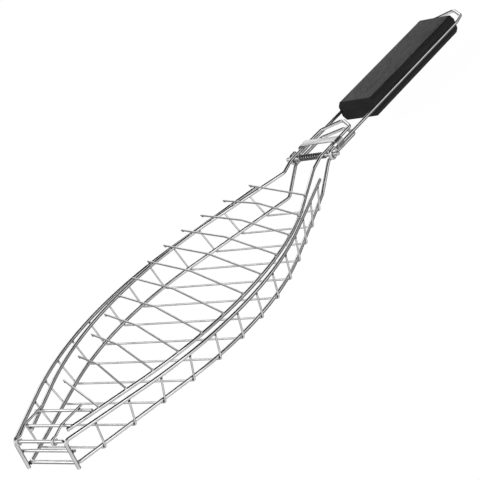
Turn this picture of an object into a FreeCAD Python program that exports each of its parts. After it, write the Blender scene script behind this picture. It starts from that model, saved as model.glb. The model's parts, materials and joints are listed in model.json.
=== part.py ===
import FreeCAD, Part
import math
import os

# Fish grill basket: a leaf-shaped wire basket, a wire lid hinged at its tail, a folding handle
# with a two-scale grip, and a sheet-steel clip that slides along the handle wires to lock the lid.
#
# All sizes are in millimetres. X runs across the basket, Y from the tail (hinge) to the hanging
# loop, Z up. Places along Y are first measured from the hinge bar, and every piece is moved
# back by HALF_LENGTH at the end, so the origin is the middle of the bottom of the whole object.

Vector = FreeCAD.Vector

# ---- wire sizes (radii) ----
FRAME_R = 1.4          # heavy wire: frames, posts and handle
RIB_R = 0.75           # thin wire: the ribs that hold the fish
BAR_R = 1.1            # two cross bars at the tail of the lid
HOOK_R = 0.9           # hinge hooks
HINGE_R = 1.3          # hinge bar
MID_BAR_R = 1.2        # bar half-way up the tail
PIN_R = 1.8            # cross pin that the handle folds on
SPRING_R = 0.45        # wire of the coil spring on the pin
SPRING_TURNS = 11

# ---- gaps ----
WELD_GAP = 0.05        # air left between pieces that are welded together
RUN_GAP = 0.06         # radial clearance of an eye on its bar or pin
SLIDE_GAP = 0.1        # round a wire inside the clip's hook, and inside the spring
REST_GAP = 0.15        # between the pin and the lid tongue that lies on it
LOOSE_GAP = 0.25       # between pieces that pass each other

# ---- levels above the rest plane ----
BASE_WELD_R = FRAME_R + RIB_R + 3 * WELD_GAP      # base wire axis to the axis of the rib bent round it
BASE_Z = RIB_R + BASE_WELD_R
RIM_Z = 22.8
LID_Z = RIM_Z + 0.7
LID_RIB_Z = LID_Z + FRAME_R + RIB_R + 2 * WELD_GAP
LID_RIDGE_Z = 32.4     # top of the shallow tent that the lid ribs form, at its tail end
LID_RIDGE_FALL = 0.28  # how much lower each next rib's ridge is towards the neck
PIN_Z = 23.4
LOWER_TONGUE_Z = PIN_Z - PIN_R - FRAME_R - WELD_GAP
LID_TONGUE_Z = PIN_Z + PIN_R + FRAME_R + REST_GAP
MID_BAR_Z = 13.0

# ---- places along the basket, from the hinge bar ----
FIRST_RIB_Y = 22.2
RIB_PITCH = 25.0
RIB_COUNT = 13
LID_RIB_COUNT = 12
FIRST_LID_RIB_Y = 47.2
LID_RIB_PITCH = 24.7
LID_RIB_SLANT = math.radians(23.1)
LID_RIB_OVERHANG = 2.0
RIB_END_STEPS = 30     # repeats that settle where a slanted rib meets the lid wire
LID_BAR_Y = (13.2, 30.2)
LID_BAR_OVERHANG = (4.0, 1.6)
HOOK_TIP_RISE = 0.8    # height of the eye's open end above the hinge bar's axis
HOOK_RISE_Y = 3.4      # where the hook starts to rise towards the lid bars
HOOK_TOP_LEAD = 1.5    # how far before the first lid bar it has risen
HOOK_END_OVERHANG = 3.6
CLIMB_TOP_Y = 368.2    # where the base wire has risen to the lower tongue
LID_STEP_Y = 362.0     # where the lid wire has risen to its tongue
PIN_Y = 371.7
TONGUE_SHOULDER_Y = 411.0
TONGUE_END_Y = 423.3   # corner of the lower tongue's point, before it is rounded
LID_TONGUE_LEAD = (0.5, 1.3)   # how much further the lid tongue's shoulder and point reach
EYE_JOG_Y = (4.5, 7.2, 9.6)    # bends that lead from the top of the eye to the leg, from the pin
GRIP_Y = 448.5
GRIP_LENGTH = 148.5
LOOP_LEG = 3.0         # straight leg behind the grip
LOOP_SHOULDER_Y = 613.0
LOOP_END_Y = 627.4     # corner of the hanging loop's point, before it is rounded

# ---- places across (half distances from the centre line) ----
POST_X = 24.6
LOWER_TONGUE_X = 17.0
LID_TONGUE_X = 15.2
HANDLE_X = 18.3
EYE_X = 20.3
PIN_HALF = 27.0
MID_BAR_OVERHANG = 1.6         # past the middle of the post
LOOP_SHOULDER_X = 15.2
LEFT_HOOK_X = (-20.4, -22.6)   # at the eye and at the far end
RIGHT_HOOK_X = (14.6, 15.8)

# ---- bends (radii on the wire's axis) ----
TAIL_CORNER_R = 3.0
POST_CORNER_R = 3.5
CLIMB_BEND_R = 7.0
LID_STEP_BEND_R = 12.0
TONGUE_SHOULDER_R = 5.0
TONGUE_POINT_R = 4.0
RIDGE_BEND_R = 9.0
HOOK_RISE_BEND_R = 3.0
HOOK_TOP_BEND_R = 6.0
EYE_JOG_R = 1.6
LOOP_LEG_BEND_R = 8.0
LOOP_SHOULDER_R = 4.0
LOOP_BEND_R = 3.0
PIN_END_R = 0.9        # rounding of the pin's ends

# ---- grip ----
GRIP_HALF_WIDTH = 18.9
GRIP_TOP_HALF_WIDTH = 16.2
GRIP_HALF_HEIGHT = 8.6
GRIP_SHOULDER = 4.6    # height of the upright side above the parting plane

# ---- locking clip ----
CLIP_THICKNESS = 0.8
CLIP_WIDTH = 9.0
CLIP_Y = PIN_Y + 10.8  # edge nearest the pin
CLIP_CORNER_R = 3.4
CLIP_HOOK_TURN = math.radians(75)

NEAR_END_Y = -(HINGE_R + RUN_GAP + 2 * HOOK_R)    # back of the hook eyes
LOOP_HALF_ANGLE = math.atan2(LOOP_SHOULDER_X, LOOP_END_Y - LOOP_SHOULDER_Y)
FAR_END_Y = LOOP_END_Y - LOOP_BEND_R * (1 / math.sin(LOOP_HALF_ANGLE) - 1) + FRAME_R
HALF_LENGTH = (NEAR_END_Y + FAR_END_Y) / 2


class Outline:
    """Half of a leaf outline: a straight run, a round belly and a straight run to the neck."""

    def __init__(self, tail, belly, neck, radius):
        """tail, belly and neck are (y, half width) corners; radius rounds the belly corner."""
        self.tail = tail
        self.belly = belly
        self.neck = neck
        self.radius = radius

    def half_width(self, y):
        """Half width at y, on the two runs and on the arc between them."""
        run_in = math.atan2(self.belly[1] - self.tail[1], self.belly[0] - self.tail[0])
        run_out = math.atan2(self.belly[1] - self.neck[1], self.neck[0] - self.belly[0])
        reach = self.radius * math.tan((run_in + run_out) / 2)
        arc_start_y = self.belly[0] - reach * math.cos(run_in)
        arc_end_y = self.belly[0] + reach * math.cos(run_out)
        if y < arc_start_y:
            return self.belly[1] - (self.belly[0] - y) * math.tan(run_in)
        if y > arc_end_y:
            return self.belly[1] - (y - self.belly[0]) * math.tan(run_out)
        centre_y = arc_start_y + self.radius * math.sin(run_in)
        centre_w = self.belly[1] - reach * math.sin(run_in) - self.radius * math.cos(run_in)
        return centre_w + math.sqrt(self.radius ** 2 - (y - centre_y) ** 2)


RIM = Outline((0.0, POST_X), (152.2, 94.7), (331.7, 32.2), 261.0)
BASE = Outline((2.9, 23.4), (170.7, 83.2), (344.6, 17.0), 225.0)
LID = Outline((11.5, 17.7), (175.4, 94.6), (349.2, LID_TONGUE_X), 268.0)


def rounded_path(points, radii):
    """Wire of straight runs through points, each inner corner rounded by its radius."""
    edges = []
    here = points[0]
    for before, corner, after, radius in zip(points, points[1:], points[2:], radii):
        back = (before - corner).normalize()
        ahead = (after - corner).normalize()
        half_angle = back.getAngle(ahead) / 2
        reach = radius / math.tan(half_angle)
        arc_start = corner + back * reach
        arc_end = corner + ahead * reach
        bisector = (back + ahead).normalize()
        arc_middle = corner + bisector * (radius / math.sin(half_angle) - radius)
        if here.distanceToPoint(arc_start) > 1e-4:
            edges.append(Part.LineSegment(here, arc_start).toShape())
        edges.append(Part.Arc(arc_start, arc_middle, arc_end).toShape())
        here = arc_end
    if here.distanceToPoint(points[-1]) > 1e-4:
        edges.append(Part.LineSegment(here, points[-1]).toShape())
    return Part.Wire(edges)


def check_volume(solid, section, path, name):
    """Stops the build when a swept solid isn't its section times its length."""
    wanted = section * path.Length
    if not solid.isValid() or abs(solid.Volume / wanted - 1) > 0.005:
        raise ValueError(f"{name}: volume {solid.Volume:.1f}, section times length {wanted:.1f}")


def bent_wire(name, points, radii, wire_r):
    """Round wire bent along the rounded path."""
    path = rounded_path(points, radii)
    first = path.Edges[0]
    start = first.valueAt(first.FirstParameter)
    heading = first.tangentAt(first.FirstParameter)
    ring = Part.Wire([Part.makeCircle(wire_r, start, heading)])
    solid = path.makePipeShell([ring], True, False)
    check_volume(solid, math.pi * wire_r ** 2, path, name)
    return solid


def straight_bar(start, end, wire_r):
    """Straight round bar from start to end."""
    along = end - start
    return Part.makeCylinder(wire_r, along.Length, start, along)


def mirrored(points):
    """The same points on the other side of the centre line, in reverse order."""
    return [Vector(-p.x, p.y, p.z) for p in reversed(points)]


def leaf_points(outline, z):
    """Tail, belly and neck corners of a leaf outline on the +X side."""
    return [Vector(w, y, z) for y, w in (outline.tail, outline.belly, outline.neck)]


def base_frame_wire():
    """One closed loop: tail bar, two leaf sides, the climb at the neck and the lower tongue."""
    climb_top = Vector(LOWER_TONGUE_X, CLIMB_TOP_Y, LOWER_TONGUE_Z)
    shoulder = Vector(LOWER_TONGUE_X, TONGUE_SHOULDER_Y, LOWER_TONGUE_Z)
    apex = Vector(0, TONGUE_END_Y, LOWER_TONGUE_Z)
    side = leaf_points(BASE, BASE_Z) + [climb_top, shoulder]
    start = Vector(0, BASE.tail[0], BASE_Z)
    side_radii = [TAIL_CORNER_R, BASE.radius, CLIMB_BEND_R, CLIMB_BEND_R, TONGUE_SHOULDER_R]
    points = [start] + side + [apex] + mirrored(side) + [start]
    radii = side_radii + [TONGUE_POINT_R] + side_radii[::-1]
    return bent_wire("base_frame_wire", points, radii, FRAME_R)


def rim_wire(name, side):
    """Side wire of the rim: a post down to the rest plane, then the leaf edge to a free end."""
    foot = Vector(POST_X, 0, 0)
    points = [foot] + leaf_points(RIM, RIM_Z)
    points = [Vector(side * p.x, p.y, p.z) for p in points]
    return bent_wire(name, points, [POST_CORNER_R, RIM.radius], FRAME_R)


def basket_rib(index):
    """U-shaped rib: flat under the base wires, bent round them, up to the underside of the rim."""
    y = FIRST_RIB_Y + index * RIB_PITCH
    base_x = BASE.half_width(y)
    rim_x = RIM.half_width(y)
    top = Vector(rim_x, y, RIM_Z - FRAME_R - LOOSE_GAP)
    rise = math.hypot(top.x - base_x, top.z - BASE_Z)
    to_top = math.atan2(top.z - BASE_Z, top.x - base_x)
    normal = to_top - math.acos(BASE_WELD_R / rise)
    turn = normal + math.pi / 2
    corner = Vector(base_x + BASE_WELD_R * math.tan(turn / 2), y, RIB_R)
    right = [corner, top]
    points = mirrored(right) + right
    return bent_wire(f"basket_rib_{index + 1:02d}", points, [BASE_WELD_R] * 2, RIB_R)


def lid_frame_wire():
    """Lid edge wire: two leaf sides that lead into a narrow tongue with a pointed end."""
    shoulder_lead, point_lead = LID_TONGUE_LEAD
    step_up = Vector(LID_TONGUE_X, LID_STEP_Y, LID_TONGUE_Z)
    shoulder = Vector(LID_TONGUE_X, TONGUE_SHOULDER_Y + shoulder_lead, LID_TONGUE_Z)
    apex = Vector(0, TONGUE_END_Y + point_lead, LID_TONGUE_Z)
    side = leaf_points(LID, LID_Z) + [step_up, shoulder]
    side_radii = [LID.radius, CLIMB_BEND_R, LID_STEP_BEND_R, TONGUE_SHOULDER_R]
    points = side + [apex] + mirrored(side)
    radii = side_radii + [TONGUE_POINT_R] + side_radii[::-1]
    return bent_wire("lid_frame_wire", points, radii, FRAME_R)


def lid_rib_end(middle_y, side):
    """Where a slanted lid rib ends, a little outside the lid frame wire on one side."""
    slope = -side * math.tan(LID_RIB_SLANT)
    reach = LID.half_width(middle_y)
    for _ in range(RIB_END_STEPS):
        reach = LID.half_width(middle_y + slope * reach)
    reach += LID_RIB_OVERHANG * math.cos(LID_RIB_SLANT)
    return side * reach, middle_y + slope * reach


def lid_rib(index):
    """Slanted rib on top of the lid frame, bent up at the centre line except at the two ends."""
    name = f"lid_rib_{index + 1:02d}"
    middle_y = FIRST_LID_RIB_Y + index * LID_RIB_PITCH
    left_x, left_y = lid_rib_end(middle_y, -1)
    right_x, right_y = lid_rib_end(middle_y, 1)
    if index in (0, LID_RIB_COUNT - 1):
        return straight_bar(Vector(left_x, left_y, LID_RIB_Z), Vector(right_x, right_y, LID_RIB_Z), RIB_R)
    ridge_z = LID_RIDGE_Z - index * LID_RIDGE_FALL
    drop = (ridge_z - LID_RIB_Z) * LID_RIB_OVERHANG / LID.half_width(middle_y)
    end_z = LID_RIB_Z - drop
    left = Vector(left_x, left_y, end_z)
    ridge = Vector(0, middle_y, ridge_z)
    right = Vector(right_x, right_y, end_z)
    return bent_wire(name, [left, ridge, right], [RIDGE_BEND_R], RIB_R)


def lid_bar(index):
    """Straight cross bar on top of the lid frame, near the hinge."""
    y = LID_BAR_Y[index]
    half = LID.half_width(y) + LID_BAR_OVERHANG[index]
    z = LID_Z + FRAME_R + BAR_R + WELD_GAP
    return straight_bar(Vector(-half, y, z), Vector(half, y, z), BAR_R)


def hinge_hook(name, eye_x, end_x):
    """Hook wire welded over both lid bars, its end curled into an eye round the hinge bar."""
    ring = HINGE_R + RUN_GAP + HOOK_R
    top_z = LID_Z + FRAME_R + 2 * BAR_R + HOOK_R + 2 * WELD_GAP
    bar_x = (eye_x + end_x) / 2
    points = [
        Vector(eye_x, ring, RIM_Z + HOOK_TIP_RISE),
        Vector(eye_x, ring, RIM_Z - ring),
        Vector(eye_x, -ring, RIM_Z - ring),
        Vector(eye_x, -ring, RIM_Z + ring),
        Vector(eye_x, HOOK_RISE_Y, RIM_Z + ring),
        Vector(bar_x, LID_BAR_Y[0] - HOOK_TOP_LEAD, top_z),
        Vector(end_x, LID_BAR_Y[1] + HOOK_END_OVERHANG, top_z),
    ]
    radii = [ring, ring, ring, HOOK_RISE_BEND_R, HOOK_TOP_BEND_R]
    return bent_wire(name, points, radii, HOOK_R)


def hinge_bar():
    """Bar between the posts at rim level, which the lid turns on."""
    half = POST_X - FRAME_R - WELD_GAP
    return straight_bar(Vector(-half, 0, RIM_Z), Vector(half, 0, RIM_Z), HINGE_R)


def tail_mid_bar():
    """Bar across the inner side of the posts, half-way down the tail."""
    half = POST_X + MID_BAR_OVERHANG
    y = FRAME_R + MID_BAR_R + WELD_GAP
    return straight_bar(Vector(-half, y, MID_BAR_Z), Vector(half, y, MID_BAR_Z), MID_BAR_R)


def cross_pin():
    """Round pin with domed ends, which lies on the lower tongue and carries the handle's eyes."""
    pin = straight_bar(Vector(-PIN_HALF, PIN_Y, PIN_Z), Vector(PIN_HALF, PIN_Y, PIN_Z), PIN_R)
    rims = [edge for edge in pin.Edges if isinstance(edge.Curve, Part.Circle)]
    return pin.makeFillet(PIN_END_R, rims)


def pin_spring():
    """Coil spring on the pin between the tongue legs."""
    length = 2 * (LID_TONGUE_X - FRAME_R - SPRING_R - LOOSE_GAP)
    coil_r = PIN_R + SLIDE_GAP + SPRING_R
    helix = Part.makeHelix(length / SPRING_TURNS, length, coil_r)
    rise = length / (2 * math.pi * coil_r * SPRING_TURNS)
    ring = Part.Wire([Part.makeCircle(SPRING_R, Vector(coil_r, 0, 0), Vector(0, 1, rise))])
    coil = Part.Wire(helix.Edges).makePipeShell([ring], True, True)
    coil.rotate(Vector(0, 0, 0), Vector(0, 1, 0), 90)
    coil.translate(Vector(-length / 2, PIN_Y, PIN_Z))
    return coil


def handle_wire():
    """One wire: eye on the pin, leg, side of the grip, hanging loop, and back the same way."""
    ring = PIN_R + RUN_GAP + FRAME_R
    leave_eye, reach_level, reach_leg = EYE_JOG_Y
    leg_out = [
        Vector(EYE_X, PIN_Y + ring, PIN_Z),
        Vector(EYE_X, PIN_Y + ring, PIN_Z - ring),
        Vector(EYE_X, PIN_Y - ring, PIN_Z - ring),
        Vector(EYE_X, PIN_Y - ring, PIN_Z + ring),
        Vector(EYE_X, PIN_Y + leave_eye, PIN_Z + ring),
        Vector(EYE_X, PIN_Y + reach_level, PIN_Z),
        Vector(HANDLE_X, PIN_Y + reach_leg, PIN_Z),
        Vector(HANDLE_X, GRIP_Y + GRIP_LENGTH + LOOP_LEG, PIN_Z),
        Vector(LOOP_SHOULDER_X, LOOP_SHOULDER_Y, PIN_Z),
    ]
    radii = [ring] * 3 + [EYE_JOG_R] * 3 + [LOOP_LEG_BEND_R, LOOP_SHOULDER_R]
    apex = Vector(0, LOOP_END_Y, PIN_Z)
    points = leg_out + [apex] + mirrored(leg_out)
    return bent_wire("handle_wire", points, radii + [LOOP_BEND_R] + radii[::-1], FRAME_R)


def grip_scale(side):
    """Half of the grip above (side 1) or below (side -1) the wire, with a groove for each leg."""
    outline = [
        (-GRIP_HALF_WIDTH, WELD_GAP),
        (GRIP_HALF_WIDTH, WELD_GAP),
        (GRIP_HALF_WIDTH, GRIP_SHOULDER),
        (GRIP_TOP_HALF_WIDTH, GRIP_HALF_HEIGHT),
        (-GRIP_TOP_HALF_WIDTH, GRIP_HALF_HEIGHT),
        (-GRIP_HALF_WIDTH, GRIP_SHOULDER),
    ]
    corners = [Vector(x, GRIP_Y, PIN_Z + side * height) for x, height in outline]
    face = Part.Face(Part.makePolygon(corners + corners[:1]))
    scale = face.extrude(Vector(0, GRIP_LENGTH, 0))
    for x in (-HANDLE_X, HANDLE_X):
        start = Vector(x, GRIP_Y - 1, PIN_Z)
        end = Vector(x, GRIP_Y + GRIP_LENGTH + 1, PIN_Z)
        scale = scale.cut(straight_bar(start, end, FRAME_R + WELD_GAP))
    return scale


def locking_clip():
    """Bent steel strip over the lid tongue whose ends hook round the two handle wires."""
    strip_z = LID_TONGUE_Z + FRAME_R + LOOSE_GAP + CLIP_THICKNESS / 2
    hook_r = FRAME_R + SLIDE_GAP + CLIP_THICKNESS / 2
    outside_x = HANDLE_X + hook_r
    middle_y = CLIP_Y + CLIP_WIDTH / 2
    tip_x = HANDLE_X + hook_r * math.cos(CLIP_HOOK_TURN)
    tip_z = PIN_Z - hook_r * math.sin(CLIP_HOOK_TURN)
    corner_z = PIN_Z - hook_r * math.tan(CLIP_HOOK_TURN / 2)
    half = [
        Vector(outside_x, middle_y, strip_z),
        Vector(outside_x, middle_y, corner_z),
        Vector(tip_x, middle_y, tip_z),
    ]
    points = mirrored(half) + half
    path = rounded_path(points, [hook_r, CLIP_CORNER_R, CLIP_CORNER_R, hook_r])
    start = points[0]
    along = (points[1] - points[0]).normalize()
    across = Vector(0, CLIP_WIDTH / 2, 0)
    through = along.cross(Vector(0, 1, 0)) * (CLIP_THICKNESS / 2)
    corners = [
        start + across + through,
        start - across + through,
        start - across - through,
        start + across - through,
    ]
    section = Part.makePolygon(corners + corners[:1])
    clip = path.makePipeShell([section], True, False)
    check_volume(clip, CLIP_THICKNESS * CLIP_WIDTH, path, "locking_clip")
    return clip


def build():
    """Every piece by its node name."""
    pieces = {
        "base_frame_wire": base_frame_wire(),
        "rim_wire_right": rim_wire("rim_wire_right", 1),
        "rim_wire_left": rim_wire("rim_wire_left", -1),
        "hinge_bar": hinge_bar(),
        "tail_mid_bar": tail_mid_bar(),
        "cross_pin": cross_pin(),
        "pin_spring": pin_spring(),
        "lid_frame_wire": lid_frame_wire(),
        "lid_bar_front": lid_bar(0),
        "lid_bar_rear": lid_bar(1),
        "hinge_hook_left": hinge_hook("hinge_hook_left", *LEFT_HOOK_X),
        "hinge_hook_right": hinge_hook("hinge_hook_right", *RIGHT_HOOK_X),
        "handle_wire": handle_wire(),
        "grip_upper_scale": grip_scale(1),
        "grip_lower_scale": grip_scale(-1),
        "locking_clip": locking_clip(),
    }
    for index in range(RIB_COUNT):
        pieces[f"basket_rib_{index + 1:02d}"] = basket_rib(index)
    for index in range(LID_RIB_COUNT):
        pieces[f"lid_rib_{index + 1:02d}"] = lid_rib(index)
    return pieces


os.makedirs("parts", exist_ok=True)
for node, shape in build().items():
    shape.translate(Vector(0, -HALF_LENGTH, 0))
    shape.exportStep(f"parts/{node}.step")
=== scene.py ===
import json
import logging
import math
from dataclasses import dataclass, field
from enum import Enum

import bpy
import numpy as np
from mathutils import Matrix, Vector
from numpy.typing import NDArray


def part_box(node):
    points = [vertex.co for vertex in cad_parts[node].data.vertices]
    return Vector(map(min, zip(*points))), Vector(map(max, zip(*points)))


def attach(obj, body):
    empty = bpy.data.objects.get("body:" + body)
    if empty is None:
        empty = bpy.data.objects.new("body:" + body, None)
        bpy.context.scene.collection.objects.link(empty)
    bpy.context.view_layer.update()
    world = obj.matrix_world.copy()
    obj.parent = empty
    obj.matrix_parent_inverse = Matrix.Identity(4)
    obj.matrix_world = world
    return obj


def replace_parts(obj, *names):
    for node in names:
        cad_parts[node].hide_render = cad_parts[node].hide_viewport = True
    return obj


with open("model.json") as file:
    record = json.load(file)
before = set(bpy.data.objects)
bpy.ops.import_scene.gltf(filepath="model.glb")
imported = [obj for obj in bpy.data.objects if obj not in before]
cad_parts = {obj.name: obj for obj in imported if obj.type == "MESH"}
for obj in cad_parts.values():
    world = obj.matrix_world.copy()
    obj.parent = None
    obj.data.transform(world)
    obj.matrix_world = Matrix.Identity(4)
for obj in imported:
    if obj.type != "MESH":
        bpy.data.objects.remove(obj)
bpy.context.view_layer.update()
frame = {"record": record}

LOG = logging.getLogger("grill_basket")
Array = NDArray[np.float64]
MM = 0.001
X_AXIS = np.array([1.0, 0.0, 0.0])
Y_AXIS = np.array([0.0, 1.0, 0.0])
Z_AXIS = np.array([0.0, 0.0, 1.0])


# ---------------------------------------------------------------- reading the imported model


@dataclass(frozen=True)
class NodeBox:
    """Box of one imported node, in millimetres, with Y measured from the hinge bar."""

    low: Array
    high: Array

    @property
    def middle(self) -> Array:
        """Centre of the box."""
        return (self.low + self.high) / 2

    @property
    def half(self) -> Array:
        """Half of the box's three sides."""
        return (self.high - self.low) / 2


def packed_box(node: str) -> NodeBox:
    """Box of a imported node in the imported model's frame, in millimetres."""
    low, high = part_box(node)
    return NodeBox(np.array(low) / MM, np.array(high) / MM)


HINGE_SHIFT = packed_box("hinge_bar").middle * Y_AXIS
NODE_BODY = {n: body for body, ns in frame["record"]["behaviour"]["bodies"].items() for n in ns}
NODE_SLOT = {part["node"]: part["material_slot"] for part in frame["record"]["subparts"]}


def node_box(node: str) -> NodeBox:
    """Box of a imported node, with Y measured from the hinge bar."""
    found = packed_box(node)
    return NodeBox(found.low - HINGE_SHIFT, found.high - HINGE_SHIFT)


@dataclass(frozen=True)
class Levels:
    """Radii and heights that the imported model's boxes give, and the gaps between pieces."""

    rim: float = node_box("hinge_bar").middle[2]
    frame_r: float = node_box("rim_wire_right").high[2] - node_box("hinge_bar").middle[2]
    rib_r: float = node_box("basket_rib_01").half[1]
    hinge_r: float = node_box("hinge_bar").half[1]
    pin_r: float = node_box("cross_pin").half[1]
    pin_y: float = node_box("cross_pin").middle[1]
    pin_z: float = node_box("cross_pin").middle[2]
    weld_gap: float = 0.05
    run_gap: float = 0.06

    @property
    def base(self) -> float:
        """Height of the base wire's axis."""
        return node_box("base_frame_wire").low[2] + self.frame_r

    @property
    def lower_tongue(self) -> float:
        """Height of the lower tongue's axis."""
        return node_box("base_frame_wire").high[2] - self.frame_r

    @property
    def lid(self) -> float:
        """Height of the lid wire's axis."""
        return node_box("lid_frame_wire").low[2] + self.frame_r

    @property
    def lid_tongue(self) -> float:
        """Height of the lid tongue's axis."""
        return node_box("lid_frame_wire").high[2] - self.frame_r


LEVELS = Levels()


# ---------------------------------------------------------------- arrays


def unit(vectors: Array) -> Array:
    """The same vectors, each with length one."""
    return vectors / np.linalg.norm(vectors, axis=-1, keepdims=True)


def turned(vector: Array, axis: Array, angles: Array) -> Array:
    """A vector turned about a unit axis by each of several angles.

    Rodrigues' formula: v cos a + (k x v) sin a + k (k . v)(1 - cos a).

    Args:
        vector: the vector to turn, of 3 numbers.
        axis: unit axis of the turn, k.
        angles: N angles in radians.

    Returns:
        N vectors, as N rows of 3.
    """
    cos, sin = np.cos(angles)[:, None], np.sin(angles)[:, None]
    return vector * cos + np.cross(axis, vector) * sin + axis * (axis @ vector) * (1 - cos)


def mirrored(corners: Array) -> Array:
    """The same corners on the other side of the centre line, in reverse order."""
    return corners[::-1] * np.array([-1.0, 1.0, 1.0])


@dataclass(frozen=True)
class LeafOutline:
    """Half of a leaf outline: a straight run, a round belly and a straight run to the neck.

    tail, belly and neck are (y, half width) corners, and radius rounds the belly corner.
    """

    tail: tuple[float, float]
    belly: tuple[float, float]
    neck: tuple[float, float]
    radius: float

    def half_width(self, y: float) -> float:
        """Half width at y: on the run in, the run out, or the circle that rounds the belly.

        Args:
            y: distance from the hinge bar.

        Returns:
            The distance of the wire's axis from the centre line.
        """
        run_in = math.atan2(self.belly[1] - self.tail[1], self.belly[0] - self.tail[0])
        run_out = math.atan2(self.belly[1] - self.neck[1], self.neck[0] - self.belly[0])
        reach = self.radius * math.tan((run_in + run_out) / 2)
        arc_start = self.belly[0] - reach * math.cos(run_in)
        arc_end = self.belly[0] + reach * math.cos(run_out)
        if y < arc_start:
            return self.belly[1] - (self.belly[0] - y) * math.tan(run_in)
        if y > arc_end:
            return self.belly[1] - (y - self.belly[0]) * math.tan(run_out)
        centre_y = arc_start + self.radius * math.sin(run_in)
        centre_x = self.belly[1] - reach * math.sin(run_in) - self.radius * math.cos(run_in)
        return centre_x + math.sqrt(self.radius**2 - (y - centre_y) ** 2)

    def corners(self, z: float) -> Array:
        """The three corners on the +X side, at one height."""
        return np.array([(half, y, z) for y, half in (self.tail, self.belly, self.neck)])


RIM = LeafOutline((0.0, 24.6), (152.2, 94.7), (331.7, 32.2), 261.0)
BASE = LeafOutline((2.9, 23.4), (170.7, 83.2), (344.6, 17.0), 225.0)
LID = LeafOutline((11.5, 17.7), (175.4, 94.6), (349.2, 15.2), 268.0)


# ---------------------------------------------------------------- centre lines


@dataclass(frozen=True)
class Route:
    """Centre line of a bent wire, with axes across it that don't twist.

    places, along, side and up have one row for each station.
    """

    places: Array
    along: Array
    side: Array
    closed: bool = False

    @property
    def up(self) -> Array:
        """The second axis across the wire: along x side."""
        return np.cross(self.along, self.side)

    @property
    def run(self) -> Array:
        """Distance from the start to each station."""
        steps = np.linalg.norm(np.diff(self.places, axis=0), axis=1)
        return np.concatenate([[0.0], np.cumsum(steps)])


SMALLEST_TURN = math.radians(5.0)
SHORTEST_RUN = 1e-6
NEARLY_UPRIGHT = 0.9


def bent_route(
    corners: Array,
    radii: list[float],
    step: float,
    side: Array | None = None,
    closed: bool = False,
) -> Route:
    """Centre line of straight runs joined by arcs, as a wire bender makes it.

    On a run the axes across stay as they are; on an arc they turn with the wire about the
    arc's own axis, which is what keeps them from twisting.

    Args:
        corners: K points; a closed route repeats its first point at the end.
        radii: radius of the arc at each inner corner, K - 2 numbers.
        step: longest distance between stations.
        side: first axis across the wire at the start; any one if left out.
        closed: whether the last station meets the first.

    Returns:
        The route, with its stations no further apart than step or 5 degrees of an arc.
    """
    heading = unit(corners[1] - corners[0])
    if side is None:
        side = unit(np.cross(heading, Z_AXIS if abs(heading[2]) < NEARLY_UPRIGHT else X_AXIS))
    here = corners[0]
    places, along, across = [], [], []

    def straight(end: Array, last: bool) -> None:
        """Adds the stations of a straight run that starts here.

        Args:
            end: where the run ends.
            last: whether this is the last run, which keeps its end as a station.
        """
        count = max(1, math.ceil(np.linalg.norm(end - here) / step))
        share = np.linspace(0.0, 1.0, count + 1)[: None if last else -1, None]
        places.append(here + (end - here) * share)
        along.append(np.repeat(heading[None], len(share), axis=0))
        across.append(np.repeat(side[None], len(share), axis=0))

    for corner, after, radius in zip(corners[1:-1], corners[2:], radii):
        ahead = unit(after - corner)
        turn = math.acos(float(np.clip(heading @ ahead, -1.0, 1.0)))
        axis = unit(np.cross(heading, ahead))
        arc_start = corner - heading * radius * math.tan(turn / 2)
        if np.linalg.norm(arc_start - here) > SHORTEST_RUN:
            straight(arc_start, last=False)
        count = max(2, math.ceil(radius * turn / step), math.ceil(turn / SMALLEST_TURN))
        angles = np.linspace(0.0, turn, count + 1)
        centre = arc_start + np.cross(axis, heading) * radius
        arc = centre + turned(arc_start - centre, axis, angles)
        arc_along = turned(heading, axis, angles)
        arc_across = turned(side, axis, angles)
        places.append(arc[:-1])
        along.append(arc_along[:-1])
        across.append(arc_across[:-1])
        here, heading, side = arc[-1], ahead, arc_across[-1]
    straight(corners[-1], last=True)
    route = Route(np.vstack(places), np.vstack(along), np.vstack(across), closed)
    return closed_up(route) if closed else route


def closed_up(route: Route) -> Route:
    """A closed route whose axes meet at the join: the leftover twist is spread along it.

    Args:
        route: stations whose last place is the first one again.

    Returns:
        The route without its repeated last station.
    """
    first, last = route.side[0], route.side[-1]
    leftover = math.atan2(route.along[0] @ np.cross(last, first), last @ first)
    roll = (leftover * route.run / route.run[-1])[:, None]
    side = route.side * np.cos(roll) + route.up * np.sin(roll)
    return Route(route.places[:-1], route.along[:-1], side[:-1], closed=True)


# ---------------------------------------------------------------- sections and surfaces


@dataclass(frozen=True)
class RoundWire:
    """Round section: radius times (cos, sin)."""

    radius: float
    sides: int = 20

    def loop(self, inset: float) -> Array:
        """The section's outline, drawn in by inset, anticlockwise."""
        angles = np.linspace(0.0, 2 * math.pi, self.sides, endpoint=False)
        return (self.radius - inset) * np.column_stack([np.cos(angles), np.sin(angles)])


@dataclass(frozen=True)
class RolledStrip:
    """Flat strip section with rounded edges, wide along side and thin along up."""

    width: float
    thickness: float
    edge_r: float
    sharpest_r: float = 0.02
    face_steps: int = 10
    edge_steps: int = 4

    def loop(self, inset: float) -> Array:
        """The section's outline: four quarter circles joined by straight runs.

        Args:
            inset: how far every face is moved inwards.

        Returns:
            The outline's points as (side, up) pairs, anticlockwise.
        """
        edge_r = max(self.edge_r - inset, self.sharpest_r)
        reach = np.array([self.width / 2 - inset - edge_r, self.thickness / 2 - inset - edge_r])
        quarter = np.linspace(0.0, math.pi / 2, self.edge_steps + 1)
        corner = edge_r * np.column_stack([np.cos(quarter), np.sin(quarter)])
        top_right = corner + reach
        top_left = corner[::-1] * (-1, 1) + reach * (-1, 1)
        face = np.linspace(top_right[-1], top_left[0], self.face_steps + 1)[1:-1]
        half = np.vstack([top_right, face, top_left])
        return np.vstack([half, -half])


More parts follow.
